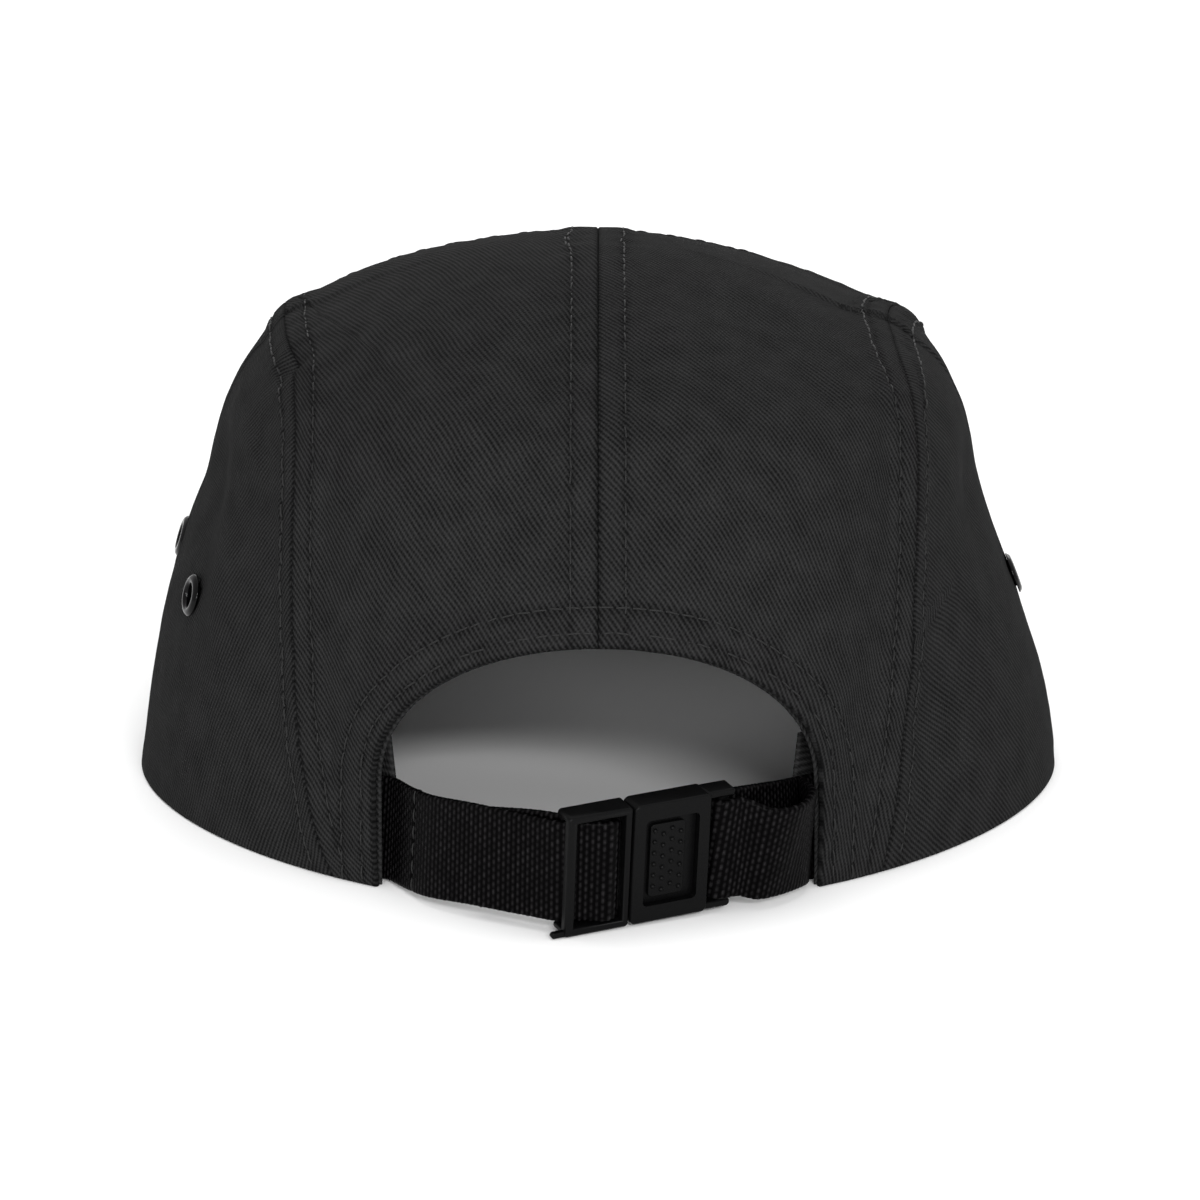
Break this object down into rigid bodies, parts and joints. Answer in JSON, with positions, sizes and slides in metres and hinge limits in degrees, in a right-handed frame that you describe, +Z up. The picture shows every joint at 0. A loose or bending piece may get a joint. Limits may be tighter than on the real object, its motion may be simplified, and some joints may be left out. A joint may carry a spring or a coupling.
{
  "type": "five panel cap",
  "caption": "Cloth cap with a one-piece front panel, side and back panels, a flat visor, and an arched back opening closed by a webbing strap and a side-release buckle",
  "frame": {"origin": "centre of the bounding box in plan, at the height of the surface the cap rests on", "axes": "+Y points out of the back of the cap, -Y along the visor; +X is the wearer's left; +Z is up, through the crown's top"},
  "size_m": [0.184, 0.2816, 0.1056],
  "materials": {
    "twill": "washed cotton twill, fine diagonal rib",
    "webbing": "close-woven narrow webbing",
    "moulded": "fine grain, rounded edges",
    "enamelled_metal": "glossy"
  },
  "bodies": {
    "root": {"front_panel": "twill", "side_panel_left": "twill", "side_panel_right": "twill", "back_panel_left": "twill", "back_panel_right": "twill", "arch_facing": "twill", "sweatband": "twill", "visor": "twill", "strap_left": "webbing", "strap_right": "webbing", "buckle_plug": "moulded", "buckle_socket": "moulded", "eyelet_left_front": "enamelled_metal", "eyelet_left_rear": "enamelled_metal", "eyelet_right_front": "enamelled_metal", "eyelet_right_rear": "enamelled_metal"}
  },
  "joints": []
}
